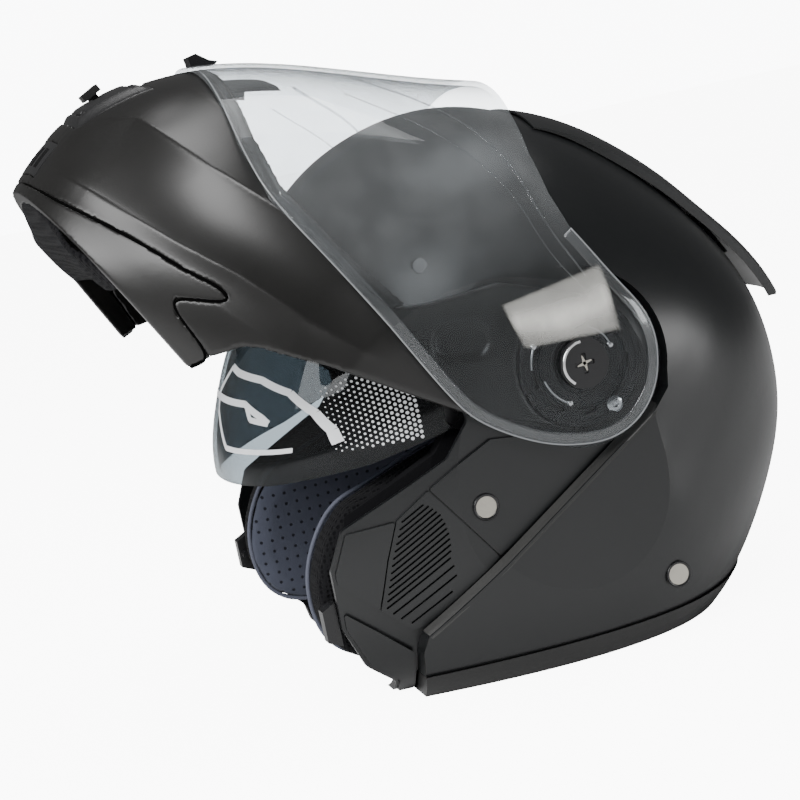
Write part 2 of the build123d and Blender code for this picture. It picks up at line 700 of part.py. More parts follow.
with BuildPart() as sun_slider:
    with BuildSketch(FIXED.offset(-122.2)):
        with Locations((SLIDER_U - 0.5 * SLIDER_TRAVEL, SLIDER_V)):
            RectangleRounded(18, 11, 2)
    extrude(amount=2.8)
    with BuildSketch(FIXED.offset(-120.0)):
        with Locations((SLIDER_U - 0.5 * SLIDER_TRAVEL, SLIDER_V)):
            Rectangle(9, 4.2)
    extrude(amount=16)
save(sun_slider.part, "sun_slider")

# ---------------------------------------------------------------- chin straps and buckle
STRAP_U = -56.0
STRAP_WIDTH = 22.0
for side, sign in (("left", 1), ("right", -1)):
    with BuildPart() as strap:
        with BuildSketch(Plane.XZ.offset(-(PIVOT_Y + STRAP_U - 0.5 * STRAP_WIDTH))):
            with BuildLine():
                Polyline(
                    (sign * 83.1, 40), (sign * 81.1, 40), (sign * 81.1, 12.4), (sign * 75.2, 7.1),
                    (sign * 12, 4.6), (sign * 12, 2.6), (sign * 76.2, 5.0), (sign * 83.1, 11.4), close=True,
                )
            make_face()
        extrude(amount=-STRAP_WIDTH)
    save(strap.part, "strap_" + side)

with BuildPart() as buckle_body:
    with Locations((0, PIVOT_Y + STRAP_U, 4.6)):
        Box(23.4, 26, 5.2)
    with Locations((0, PIVOT_Y + STRAP_U, 7.2)):
        Box(25, 14, 3.0, mode=Mode.SUBTRACT)
save(buckle_body.part, "buckle_body")

LEVER_HINGE_Y = PIVOT_Y + STRAP_U - 5.2
LEVER_HINGE_Z = 8.4
with BuildPart() as buckle_lever:
    with Locations((0, LEVER_HINGE_Y + 5.8, LEVER_HINGE_Z)):
        Box(20, 11.6, 3.0)
    with Locations(Location((0, LEVER_HINGE_Y, LEVER_HINGE_Z), (0, 90, 0))):
        Cylinder(1.5, 20)
save(buckle_lever.part, "buckle_lever")
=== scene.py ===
"""Looks of the modular helmet: materials, finely formed pieces, floor, light and camera."""

import json
import math

import bmesh
import bpy
import numpy as np
from mathutils import Matrix, Vector


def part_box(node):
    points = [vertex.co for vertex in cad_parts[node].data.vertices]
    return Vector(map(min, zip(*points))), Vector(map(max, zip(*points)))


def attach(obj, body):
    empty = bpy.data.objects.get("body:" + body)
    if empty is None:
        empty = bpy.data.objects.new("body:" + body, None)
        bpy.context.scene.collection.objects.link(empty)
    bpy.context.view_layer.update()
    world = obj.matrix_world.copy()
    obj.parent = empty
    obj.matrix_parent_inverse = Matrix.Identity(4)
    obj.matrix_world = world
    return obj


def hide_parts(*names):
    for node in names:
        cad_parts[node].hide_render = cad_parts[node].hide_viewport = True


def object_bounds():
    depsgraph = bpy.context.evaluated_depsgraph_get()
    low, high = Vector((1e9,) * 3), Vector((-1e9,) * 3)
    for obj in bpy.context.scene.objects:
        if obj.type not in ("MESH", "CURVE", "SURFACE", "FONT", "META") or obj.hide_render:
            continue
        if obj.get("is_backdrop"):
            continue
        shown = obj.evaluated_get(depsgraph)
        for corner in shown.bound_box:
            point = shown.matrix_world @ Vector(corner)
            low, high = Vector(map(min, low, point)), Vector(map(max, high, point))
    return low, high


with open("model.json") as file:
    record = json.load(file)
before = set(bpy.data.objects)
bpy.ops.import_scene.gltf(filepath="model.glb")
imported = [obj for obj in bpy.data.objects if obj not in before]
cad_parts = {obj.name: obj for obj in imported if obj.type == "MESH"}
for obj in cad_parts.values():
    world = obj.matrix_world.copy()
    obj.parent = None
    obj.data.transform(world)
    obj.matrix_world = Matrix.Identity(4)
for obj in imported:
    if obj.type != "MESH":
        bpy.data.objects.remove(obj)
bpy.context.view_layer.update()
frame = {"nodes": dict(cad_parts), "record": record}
nodes = frame["nodes"]

PIVOT = Vector((0.0, 0.0303, 0.131))
RAISED = math.radians(62.0)
MM = 0.001
SIDES = (("left", 1), ("right", -1))  # the wearer's sides and the sign of X there

# Half width of the skin where it is widest, in mm.
SKIN_HALF = 121.0
# The visor's layer over the skin: change of reach, half width and cap, in mm.
LENS_LAYER = (3.4, 124.5, 121.0)
LENS_EDGE_LAYER = (3.3, 124.4, 120.9)

# Reach of the closed helmet skin from the pivot axis: direction, reach, fullness.
SKIN = [
    (-36, 238, 2.5), (-20, 221, 2.25), (-8, 190.5, 2.2), (10, 146, 2.2), (28, 125.5, 2.2), (42, 121.5, 2.2),
    (56, 121, 2.15), (70, 119.5, 2.15), (86, 117, 2.15), (104, 111, 2.15), (122, 106, 2.15), (138, 105, 2.2),
    (154, 109.5, 2.25), (168, 118, 2.25), (182, 128, 2.25), (197, 138, 2.25), (211, 146, 2.3),
    (224, 151, 2.45),
    (238, 152.5, 3.1), (254, 152, 4.4), (272, 150, 5.6), (292, 160, 5.0), (309, 190, 3.6),
]


# ------------------------------------------------------------------ the helmet skin in numbers
def periodic(rows, column):
    """Smooth closed curve through one column of the skin table."""
    at = np.array([r[0] for r in rows], float)
    val = np.array([r[column] for r in rows], float)
    n = len(at)
    gap = np.diff(np.append(at, at[0] + 360.0))
    rise = np.diff(np.append(val, val[0])) / gap
    a = np.zeros((n, n))
    b = np.zeros(n)
    for i in range(n):
        a[i, i - 1] += gap[i - 1]
        a[i, i] += 2.0 * (gap[i - 1] + gap[i])
        a[i, (i + 1) % n] += gap[i]
        b[i] = 6.0 * (rise[i] - rise[i - 1])
    bend = np.linalg.solve(a, b)

    def curve(direction):
        d = np.mod(np.asarray(direction, float) - at[0], 360.0) + at[0]
        i = np.clip(np.searchsorted(at, d, side="right") - 1, 0, n - 1)
        j = (i + 1) % n
        t = d - at[i]
        h = gap[i]
        slope = rise[i] - h * (2.0 * bend[i] + bend[j]) / 6.0
        return val[i] + slope * t + 0.5 * bend[i] * t**2 + (bend[j] - bend[i]) / (6.0 * h) * t**3

    return curve


skin_reach = periodic(SKIN, 1)
skin_full = periodic(SKIN, 2)


def skin_x(u, v, change, half, cap):
    """Half width of a skin layer at a side-view point, in mm."""
    direction = np.degrees(np.arctan2(v, -u))
    n = skin_full(direction)
    part = 1.0 - (np.hypot(u, v) / (skin_reach(direction) + change)) ** n
    return np.minimum(half * np.clip(part, 1e-6, None) ** (1.0 / n), cap)


def raised_point(x, u, v):
    """Row-frame point in metres of a closed-pose side-view point on the raised chin bar."""
    c, s = math.cos(RAISED), math.sin(RAISED)
    return PIVOT + Vector((x, u * c + v * s, -u * s + v * c)) * MM


def fixed_point(x, u, v):
    """Row-frame point in metres of a side-view point on the shell."""
    return PIVOT + Vector((x, u, v)) * MM


def on_skin(line, sign, layer, place):
    """Points of a side-view line laid on a skin layer of one side, by fixed_point or raised_point."""
    x = skin_x(line[:, 0], line[:, 1], *layer)
    return [place(sign * a, b, c) for a, b, c in zip(x, line[:, 0], line[:, 1])]


def lens_layer(lift):
    """Skin layer lying a lift in mm above the lens."""
    return tuple(k + lift for k in LENS_LAYER)


def closed_uv(points):
    """Closed-pose side-view coordinates in mm of row-frame points riding on the raised chin bar."""
    y = (points[:, 1] - PIVOT.y) / MM
    z = (points[:, 2] - PIVOT.z) / MM
    c, s = math.cos(RAISED), math.sin(RAISED)
    return y * c - z * s, y * s + z * c


# ------------------------------------------------------------------ materials
def value(node, name, number):
    """Set a shader socket by name."""
    node.inputs[name].default_value = number


def link(tree, a, out, b, into):
    """Join two shader sockets by name."""
    tree.links.new(a.outputs[out], b.inputs[into])


def material(
    name, color, rough, metal=0.0, bump=0.0, grain=900.0, rough_vary=0.06, tone_vary=0.15, gloss=0.5
):
    """Principled surface with procedural tone, roughness and relief."""
    m = bpy.data.materials.new(name)
    m.use_nodes = True
    tree = m.node_tree
    shader = tree.nodes["Principled BSDF"]
    value(shader, "Metallic", metal)
    value(shader, "Specular IOR Level", gloss)
    place = tree.nodes.new("ShaderNodeTexCoord")
    wide = tree.nodes.new("ShaderNodeTexNoise")
    value(wide, "Scale", 38.0)
    value(wide, "Detail", 6.0)
    link(tree, place, "Object", wide, "Vector")
    spread = tree.nodes.new("ShaderNodeMapRange")
    value(spread, "To Min", max(0.02, rough - rough_vary))
    value(spread, "To Max", min(1.0, rough + rough_vary))
    link(tree, wide, "Fac", spread, "Value")
    link(tree, spread, "Result", shader, "Roughness")
    tone = tree.nodes.new("ShaderNodeMix")
    tone.data_type = "RGBA"
    tone.inputs["A"].default_value = [c * (1.0 - tone_vary) for c in color] + [1.0]
    tone.inputs["B"].default_value = [min(1.0, c * (1.0 + tone_vary)) for c in color] + [1.0]
    tree.links.new(wide.outputs["Fac"], tone.inputs["Factor"])
    tree.links.new(tone.outputs["Result"], shader.inputs["Base Color"])
    if bump > 0:
        fine = tree.nodes.new("ShaderNodeTexNoise")
        value(fine, "Scale", grain)
        value(fine, "Detail", 3.0)
        link(tree, place, "Object", fine, "Vector")
        relief = tree.nodes.new("ShaderNodeBump")
        value(relief, "Strength", bump)
        value(relief, "Distance", 0.0004)
        link(tree, fine, "Fac", relief, "Height")
        link(tree, relief, "Normal", shader, "Normal")
    return m


def fabric(name, color, cell, depth, hole=False, cell_shade_color=(0.004, 0.004, 0.005)):
    """Knitted or perforated cloth: a cell pattern in relief, darker down in the cells as painted shade."""
    m = bpy.data.materials.new(name)
    m.use_nodes = True
    tree = m.node_tree
    shader = tree.nodes["Principled BSDF"]
    value(shader, "Roughness", 0.95)
    value(shader, "Specular IOR Level", 0.10)
    value(shader, "Sheen Weight", 0.08 if hole else 0.02)
    place = tree.nodes.new("ShaderNodeTexCoord")
    cells = tree.nodes.new("ShaderNodeTexVoronoi")
    value(cells, "Scale", 1.0 / cell)
    value(cells, "Randomness", 0.0 if hole else 0.12)
    lay = tree.nodes.new("ShaderNodeMapping")
    lay.inputs["Scale"].default_value = (0.0, 1.0, 1.0) if hole else (1.0, 1.0, 1.0)
    link(tree, place, "Object", lay, "Vector")
    link(tree, lay, "Vector", cells, "Vector")
    knit = tree.nodes.new("ShaderNodeTexNoise")
    value(knit, "Scale", 2600.0)
    value(knit, "Detail", 2.0)
    link(tree, place, "Object", knit, "Vector")
    cell_depth_shade = tree.nodes.new("ShaderNodeMapRange")
    value(cell_depth_shade, "From Min", 0.10 if hole else 0.2)
    value(cell_depth_shade, "From Max", 0.17 if hole else 0.55)
    cell_depth_shade.interpolation_type = "SMOOTHSTEP"
    link(tree, cells, "Distance", cell_depth_shade, "Value")
    # Painted shade: the colour darkens down in the cells, where the relief is low.
    tone = tree.nodes.new("ShaderNodeMix")
    tone.data_type = "RGBA"
    tone.inputs["A"].default_value = (*cell_shade_color, 1.0)
    tone.inputs["B"].default_value = (*color, 1.0)
    tree.links.new(cell_depth_shade.outputs["Result"], tone.inputs["Factor"])
    tree.links.new(tone.outputs["Result"], shader.inputs["Base Color"])
    high = tree.nodes.new("ShaderNodeMath")
    high.operation = "MULTIPLY_ADD"
    high.inputs[1].default_value = 0.22
    tree.links.new(knit.outputs["Fac"], high.inputs[0])
    tree.links.new(cell_depth_shade.outputs["Result"], high.inputs[2])
    relief = tree.nodes.new("ShaderNodeBump")
    value(relief, "Strength", depth)
    value(relief, "Distance", 0.0008)
    tree.links.new(high.outputs["Value"], relief.inputs["Height"])
    link(tree, relief, "Normal", shader, "Normal")
    return m


def see_through(
    name, tint, gloss_rough, edge_shine=0.9, face_shine=0.035, veil_amount=0.0, veil_color=(0.75, 0.77, 0.78),
    fade=False, painted_top_light=False,
):
    """Thin clear or smoked sheet with a mirror-like skin, stronger at a glancing view.

    A pale diffuse veil lies over the sheet, on the clear lens painted reflection; a switch makes it grow
    towards the top, and fade follows the mesh's fade attribute.
    """
    m = bpy.data.materials.new(name)
    m.use_nodes = True
    tree = m.node_tree
    tree.nodes.remove(tree.nodes["Principled BSDF"])
    out = tree.nodes["Material Output"]
    clear = tree.nodes.new("ShaderNodeBsdfTransparent")
    value(clear, "Color", (*tint, 1.0))
    gloss = tree.nodes.new("ShaderNodeBsdfGlossy")
    value(gloss, "Roughness", gloss_rough)
    value(gloss, "Color", (0.92, 0.94, 0.95, 1.0))
    facing = tree.nodes.new("ShaderNodeLayerWeight")
    value(facing, "Blend", 0.5)
    sharp = tree.nodes.new("ShaderNodeMath")
    sharp.operation = "POWER"
    sharp.inputs[1].default_value = 4.5
    tree.links.new(facing.outputs["Facing"], sharp.inputs[0])
    shine = tree.nodes.new("ShaderNodeMapRange")
    value(shine, "To Min", face_shine)
    value(shine, "To Max", edge_shine)
    tree.links.new(sharp.outputs["Value"], shine.inputs["Value"])
    mix = tree.nodes.new("ShaderNodeMixShader")
    tree.links.new(shine.outputs["Result"], mix.inputs["Fac"])
    tree.links.new(clear.outputs["BSDF"], mix.inputs[1])
    tree.links.new(gloss.outputs["BSDF"], mix.inputs[2])
    veil = tree.nodes.new("ShaderNodeBsdfDiffuse")
    value(veil, "Color", (*veil_color, 1.0))
    place = tree.nodes.new("ShaderNodeTexCoord")
    dust = tree.nodes.new("ShaderNodeTexNoise")
    value(dust, "Scale", 60.0)
    value(dust, "Detail", 5.0)
    link(tree, place, "Object", dust, "Vector")
    amount = tree.nodes.new("ShaderNodeMapRange")
    value(amount, "From Min", 0.35)
    value(amount, "From Max", 0.75)
    value(amount, "To Min", veil_amount * 0.7)
    value(amount, "To Max", veil_amount * 1.1)
    link(tree, dust, "Fac", amount, "Value")
    # Painted light: the veil grows towards the top of the helmet.
    if painted_top_light:
        high = tree.nodes.new("ShaderNodeSeparateXYZ")
        link(tree, place, "Object", high, "Vector")
        rise = tree.nodes.new("ShaderNodeMapRange")
        rise.interpolation_type = "SMOOTHSTEP"
        value(rise, "From Min", 0.150)
        value(rise, "From Max", 0.215)
        value(rise, "To Min", 0.12)
        value(rise, "To Max", 1.0)
        link(tree, high, "Z", rise, "Value")
        grow = tree.nodes.new("ShaderNodeMath")
        grow.operation = "MULTIPLY"
        link(tree, amount, "Result", grow, 0)
        link(tree, rise, "Result", grow, 1)
        amount = grow
    strength = amount.outputs[0]
    mix2 = tree.nodes.new("ShaderNodeMixShader")
    if fade:
        soft = tree.nodes.new("ShaderNodeAttribute")
        soft.attribute_name = "fade"
        thin = tree.nodes.new("ShaderNodeMath")
        thin.operation = "MULTIPLY"
        tree.links.new(strength, thin.inputs[0])
        tree.links.new(soft.outputs["Fac"], thin.inputs[1])
        tree.links.new(thin.outputs["Value"], mix2.inputs["Fac"])
    else:
        tree.links.new(strength, mix2.inputs["Fac"])
    tree.links.new(mix.outputs["Shader"], mix2.inputs[1])
    tree.links.new(veil.outputs["BSDF"], mix2.inputs[2])
    tree.links.new(mix2.outputs["Shader"], out.inputs["Surface"])
    return m


looks = {
    "shell": material("shell", (0.0075, 0.0082, 0.0088), 0.31, bump=0.04, rough_vary=0.025),
    "chin": material("chin", (0.0095, 0.0092, 0.0088), 0.33, bump=0.05, rough_vary=0.025),
    "rubber": material("rubber", (0.006, 0.006, 0.006), 0.36, bump=0.15),
    "foam": material("foam", (0.006, 0.006, 0.007), 0.95, bump=0.35, grain=500.0, gloss=0.12),
    "fabric_dark": fabric("fabric_dark", (0.009, 0.009, 0.010), 0.0022, 0.9),
    "fabric_grey": fabric(
        "fabric_grey", (0.060, 0.066, 0.090), 0.0056, 0.6, hole=True, cell_shade_color=(0.010, 0.011, 0.016)
    ),
    "metal": material("metal", (0.46, 0.44, 0.39), 0.34, metal=1.0, bump=0.2, tone_vary=0.3),
    "gear": material("gear", (0.008, 0.008, 0.009), 0.28, bump=0.08),
    "webbing": fabric("webbing", (0.014, 0.014, 0.015), 0.0016, 0.8),
    "vent": material("vent", (0.014, 0.014, 0.0145), 0.36, bump=0.1),
    # The clear lens's veil, stronger towards the top, is painted reflection.
    "clear": see_through("clear", (0.77, 0.785, 0.795), 0.02, face_shine=0.012, veil_amount=0.070, painted_top_light=True),
    "smoke": see_through("smoke", (0.25, 0.275, 0.29), 0.03, face_shine=0.015, veil_amount=0.012),
    "release": material("release", (0.25, 0.01, 0.01), 0.35, bump=0.05),
}
bright = material("bright", (0.75, 0.75, 0.76), 0.22, metal=1.0, bump=0.05)
piping = material("piping", (0.085, 0.092, 0.125), 0.8, bump=0.5, grain=1800.0)
rim_haze = see_through("rim_haze", (0.85, 0.86, 0.87), 0.10, veil_amount=0.045)
rim_line = material("rim_line", (0.22, 0.23, 0.24), 0.15, bump=0.05)
film = see_through(
    "film", (1.0, 1.0, 1.0), 0.25, edge_shine=0.0, face_shine=0.0, veil_amount=0.62,
    veil_color=(0.92, 0.91, 0.86), fade=True,
)
print_white = material("print_white", (0.78, 0.8, 0.82), 0.5)

for part in frame["record"]["subparts"]:
    piece = nodes[part["node"]]
    piece.data.materials.clear()
    piece.data.materials.append(bright if part["node"] == "dome_studs" else looks[part["material_slot"]])


# ------------------------------------------------------------------ mesh work
def keep_shape(o):
    """Apply all modifiers of an object to its mesh."""
    graph = bpy.context.evaluated_depsgraph_get()
    mesh = bpy.data.meshes.new_from_object(o.evaluated_get(graph))
    o.modifiers.clear()
    o.data = mesh


def shade_smooth(mesh):
    """Shade every face of a mesh smooth."""
    mesh.polygons.foreach_set("use_smooth", [True] * len(mesh.polygons))


def even_mesh(node, voxel, name, look):
    """Evenly meshed copy of a CAD piece, ready to be formed."""
    o = bpy.data.objects.new(name, nodes[node].data.copy())
    bpy.context.collection.objects.link(o)
    even = o.modifiers.new("even", "REMESH")
    even.mode = "VOXEL"
    even.voxel_size = voxel
    keep_shape(o)
    o.data.materials.clear()
    o.data.materials.append(look)
    shade_smooth(o.data)
    return o


def points_of(o):
    """Vertex positions and normals as arrays."""
    n = len(o.data.vertices)
    co = np.empty(n * 3)
    no = np.empty(n * 3, np.float32)
    o.data.vertices.foreach_get("co", co)
    o.data.vertex_normals.foreach_get("vector", no)
    return co.reshape(-1, 3), no.reshape(-1, 3).astype(float)


def set_points(o, co):
    """Write vertex positions back."""
    o.data.vertices.foreach_set("co", co.ravel())
    o.data.update()


def step(x, a, b):
    """Smooth step from 0 at a to 1 at b."""
    t = np.clip((x - a) / (b - a), 0.0, 1.0)
    return t * t * (3.0 - 2.0 * t)


def outward(co, no):
    """How squarely a vertex faces away from the middle of the helmet."""
    away = co - np.array(PIVOT)
    away = away / np.maximum(np.linalg.norm(away, axis=1, keepdims=True), 1e-6)
    return step(np.sum(away * no, axis=1), 0.15, 0.55)


def smooth(o, factor, times):
    """Relax a mesh and keep the result."""
    m = o.modifiers.new("relax", "SMOOTH")
    m.factor = factor
    m.iterations = times
    keep_shape(o)


def mesh_piece(name, verts, faces, look, body, flat=False):
    """New object from points and faces, riding on a body."""
    mesh = bpy.data.meshes.new(name)
    mesh.from_pydata([tuple(p) for p in verts], [], faces)
    mesh.materials.append(look)
    work = bmesh.new()
    work.from_mesh(mesh)
    bmesh.ops.recalc_face_normals(work, faces=work.faces)
    work.to_mesh(mesh)
    work.free()
    if not flat:
        shade_smooth(mesh)
    o = bpy.data.objects.new(name, mesh)
    bpy.context.collection.objects.link(o)
    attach(o, body)
    return o


def thicken(o, thick):
    """Give a flat piece a thickness in mm, outwards and inwards."""
    solid = o.modifiers.new("thick", "SOLIDIFY")
    solid.thickness = thick * MM
    solid.offset = 0.0


def lathe(name, profile, centre, sign, look, body, start=0.0, sweep=360.0, steps=96):
    """Closed (along X, radius) profile in mm, turned about an X axis, or part of a turn."""
    whole = sweep >= 360.0
    count = steps if whole else max(6, int(steps * sweep / 360.0))
    verts = []
    for k in range(count if whole else count + 1):
        a = math.radians(start + sweep * k / count)
        for x, r in profile:
            verts.append(centre + Vector((sign * x, r * math.cos(a), r * math.sin(a))) * MM)
    n = len(profile)
    rings = len(verts) // n
    faces = []
    for k in range(rings if whole else rings - 1):
        for i in range(n):
            a, b = k * n + i, k * n + (i + 1) % n
            c, d = ((k + 1) % rings) * n + (i + 1) % n, ((k + 1) % rings) * n + i
            faces.append((a, b, c, d))
    if not whole:
        faces.append(tuple(range(n)))
        faces.append(tuple(range((rings - 1) * n, rings * n)))
    o = mesh_piece(name, verts, faces, look, body)
    crease(o, 40)
    return o


def crease(o, angle):
    """Shade sharp edges flat."""
    mesh = o.data
    work = bmesh.new()
    work.from_mesh(mesh)
    for e in work.edges:
        if len(e.link_faces) == 2 and e.calc_face_angle(0.0) > math.radians(angle):
            e.smooth = False
    work.to_mesh(mesh)
    work.free()


def tube(name, path, radius, look, body, around=10, closed=False):
    """Round tube along points in metres."""
    pts = [Vector(p) for p in path]
    n = len(pts)
    verts = []
    side = None
    for i, p in enumerate(pts):
        before = pts[i - 1] if (i > 0 or closed) else p
        after = pts[(i + 1) % n] if (i < n - 1 or closed) else p
        way = (after - before).normalized()
        if side is None:
            side = way.orthogonal().normalized()
        side = (side - way * side.dot(way)).normalized()
        other = way.cross(side)
        for k in range(around):
            a = 2.0 * math.pi * k / around
            verts.append(p + (side * math.cos(a) + other * math.sin(a)) * radius)
    faces = []
    for i in range(n if closed else n - 1):
        for k in range(around):
            j = (i + 1) % n
            faces.append(
                (i * around + k, i * around + (k + 1) % around, j * around + (k + 1) % around, j * around + k)
            )
    if not closed:
        faces.append(tuple(range(around)))
        faces.append(tuple(range((n - 1) * around, n * around)))
    return mesh_piece(name, verts, faces, look, body)


def walk(points, spacing):
    """Evenly spaced side-view points along a polyline, its corners rounded off."""
    p = np.array(points, float)
    for _ in range(3):
        q = [p[0]]
        for a, b in zip(p[:-1], p[1:]):
            q += [a * 0.75 + b * 0.25, a * 0.25 + b * 0.75]
        q.append(p[-1])
        p = np.array(q)
    run = np.append(0.0, np.cumsum(np.linalg.norm(np.diff(p, axis=0), axis=1)))
    s = np.linspace(0.0, run[-1], max(4, int(run[-1] / spacing)))
    return np.stack([np.interp(s, run, p[:, 0]), np.interp(s, run, p[:, 1])], 1)


# ------------------------------------------------------------------ chin bar
# Ridges along the chin bar, in closed side-view mm.
UPPER_RIDGE = [
    (-215, -90), (-209, -87), (-194, -69), (-163, -64), (-134, -56), (-110, -50), (-80, -42), (-40, -30),
]
LOWER_RIDGE = [
    (-215, -116), (-198, -110), (-171, -103), (-148, -96), (-122, -86), (-92, -78), (-68, -69), (-44, -60),
]
SCOOP_DEPTH, UPPER_DEPTH, LOWER_DEPTH = 3.4, 1.5, 0.9  # between, above and below the ridges, in mm


def ridge_at(ridge, u):
    """Height of a ridge line at a distance along the chin bar."""
    r = np.array(ridge, float)
    return np.interp(u, r[:, 0], r[:, 1])


chin = even_mesh("chin_bar", 0.0011, "chin_bar_formed", looks["chin"])
smooth(chin, 0.5, 2)
co, no = points_of(chin)
u, v = closed_uv(co)
face = outward(co, no)

# The voxel steps of the outer face are drawn back onto the exact skin.
direction = np.degrees(np.arctan2(v, -u))
full, far = skin_full(direction), skin_reach(direction)
r, x = np.hypot(u, v), np.abs(co[:, 0]) / MM
off = (r / far) ** full + (x / SKIN_HALF) ** full - 1.0
rate = np.hypot(full * r ** (full - 1.0) / far**full, full * x ** (full - 1.0) / SKIN_HALF**full)
gap = -off / np.maximum(rate, 1e-6)
gap = gap * face * (1.0 - step(np.abs(gap), 0.8, 3.2)) * (1.0 - step(x, 112.0, 115.5))
co = co + no * (gap * MM)[:, None]

# The scoops between, above and below the ridges, and the thin line over the top.
side = step(np.abs(co[:, 0]) / MM, 30.0, 62.0)
high, low = ridge_at(UPPER_RIDGE, u), ridge_at(LOWER_RIDGE, u)
span = np.maximum(high - low, 1.0)
t = np.clip((v - low) / span, 0.0, 1.0)
fade = (1.0 - step(u, -95.0, -55.0)) * step(u, -214.0, -200.0)
scoop = -SCOOP_DEPTH * np.sin(math.pi * t) ** 0.75 * fade * side
above = np.clip((v - high) / 26.0, 0.0, 1.0)
rear, front = 1.0 - step(u, -120.0, -90.0), step(u, -204.0, -186.0)
scoop += -UPPER_DEPTH * np.sin(math.pi * above) ** 0.8 * rear * side * front
below = np.clip((low - v) / 16.0, 0.0, 1.0)
scoop += -LOWER_DEPTH * np.sin(math.pi * below) * fade * side
top_line = 0.9 * np.exp(-((co[:, 0] / MM / 5.0) ** 2)) * (v > -50)
set_points(chin, co + no * ((scoop + top_line) * face * MM)[:, None])
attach(chin, "chin")
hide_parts("chin_bar")

# ------------------------------------------------------------------ eyeport gasket with a lip
seal = even_mesh("eyeport_seal", 0.0008, "eyeport_seal_formed", looks["rubber"])
co, no = points_of(seal)
u, v = closed_uv(co)
face = outward(co, no)
LIP_AT = [-260, -192, -178, -160, -137, -97, -72]
LIP_HEIGHT = [-21.6, -26.6, -33.6, -43.6, -50.6, -49.6, -45.5]
LIP_WIDE = 2.2
line = np.interp(u, LIP_AT, LIP_HEIGHT)
lip = np.cos(np.clip((v - line) / LIP_WIDE, -1.0, 1.0) * math.pi)
set_points(seal, co + no * ((0.5 - 0.7 * lip) * face * MM)[:, None])
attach(seal, "chin")
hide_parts("eyeport_seal")

# ------------------------------------------------------------------ skirt of the chin bar and its seam
skirt = even_mesh("chin_skirt", 0.0009, "chin_skirt_formed", looks["chin"])
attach(skirt, "chin")
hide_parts("chin_skirt")

SKIRT_SEAM = [
    (-196, -120.6), (-190, -119.3), (-161, -108.3), (-137, -101.3), (-124, -95.9), (-117.8, -96.0),
    (-119.6, -100.2), (-132, -112.3), (-127, -115.6), (-104, -117.1), (-105.5, -125),
]
seam_shade_look = material("seam", (0.0015, 0.0015, 0.0015), 0.95, bump=0.2, gloss=0.02)
# The thin line runs the whole seam; the wider one fills the gap at its lower end, from the eighth point on.
# Both are matte near-black: painted shade in the seam and its gap.
for name, first, wide, sunk in (("line", 0, 0.0006, 0.35), ("gap", 7, 0.0012, 2.2)):
    line = walk(SKIRT_SEAM[first:], 1.2)
    for side_name, sign in SIDES:
        path = on_skin(line, sign, (-sunk, SKIN_HALF - sunk, 117.4 - sunk), raised_point)
        tube("skirt_seam_%s_%s" % (name, side_name), path, wide, seam_shade_look, "chin", around=8)

# ------------------------------------------------------------------ mesh flap under the chin
CURTAIN_BELLY = 6.5  # how far the middle of the flap hangs out, in mm
curtain = even_mesh("chin_curtain", 0.0009, "chin_curtain_formed", looks["fabric_dark"])
co, no = points_of(curtain)
u, v = closed_uv(co)
reach = np.hypot(u, co[:, 0] / MM)
belly = np.clip((reach - 146.0) / 52.0, 0.0, 1.0) * (1.0 - step(np.abs(co[:, 0]) / MM, 50.0, 78.0))
c, s = math.cos(RAISED), math.sin(RAISED)
down = np.array([0.0, -s, -c])
set_points(curtain, co + down * (CURTAIN_BELLY * np.sin(math.pi * belly) ** 0.7 * MM)[:, None])
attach(curtain, "chin")
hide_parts("chin_curtain")

# ------------------------------------------------------------------ vent cover on the chin bar
VENT_CROWN = 2.6  # how far the middle of the cover rises, in mm
vent = even_mesh("chin_vent_frame", 0.0007, "chin_vent_formed", looks["vent"])
co, no = points_of(vent)
u, v = closed_uv(co)
face = outward(co, no)
edge = np.minimum(step(v, -90.0, -84.0), 1.0 - step(v, -58.0, -52.5))
edge = np.minimum(edge, 1.0 - step(np.abs(co[:, 0]) / MM, 22.0, 29.5))
set_points(vent, co + no * (VENT_CROWN * edge * face * MM)[:, None])
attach(vent, "chin")
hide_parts("chin_vent_frame")


# ------------------------------------------------------------------ soft pads
CLOTH_FRAMES = 20
CLOTH_STIFFNESS = 25.0


def puffed(node, voxel, shrink, pressure, cap, look, name):
    """Stuffed form of a CAD pad: shrunk, its cloth skin blown up by at most cap, kept in the CAD box."""
    o = even_mesh(node, voxel, name, look)
    smooth(o, 0.6, 8)
    co, no = points_of(o)
    co = co - no * shrink
    set_points(o, co)
    start = co.copy()
    bpy.context.view_layer.update()
    cloth = o.modifiers.new("cloth", "CLOTH")
    cloth.settings.use_pressure = True
    cloth.settings.uniform_pressure_force = pressure
    cloth.settings.effector_weights.gravity = 0.0
    cloth.settings.tension_stiffness = CLOTH_STIFFNESS
    cloth.settings.compression_stiffness = CLOTH_STIFFNESS
    cloth.point_cache.frame_start = 1
    cloth.point_cache.frame_end = CLOTH_FRAMES
    scene = bpy.context.scene
    for f in range(1, CLOTH_FRAMES + 1):
        scene.frame_set(f)
    keep_shape(o)
    scene.frame_set(1)
    co, no = points_of(o)
    move = co - start
    size = np.maximum(np.linalg.norm(move, axis=1, keepdims=True), 1e-9)
    co = start + move * np.minimum(1.0, cap / size)
    set_points(o, co)
    smooth(o, 0.5, 2)
    sub = o.modifiers.new("fine", "SUBSURF")
    sub.levels = 1
    sub.render_levels = 1
    keep_shape(o)
    shade_smooth(o.data)
    low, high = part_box(node)
    co, no = points_of(o)
    set_points(o, np.clip(co, np.array(low), np.array(high)))
    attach(o, "helmet")
    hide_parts(node)
    return o


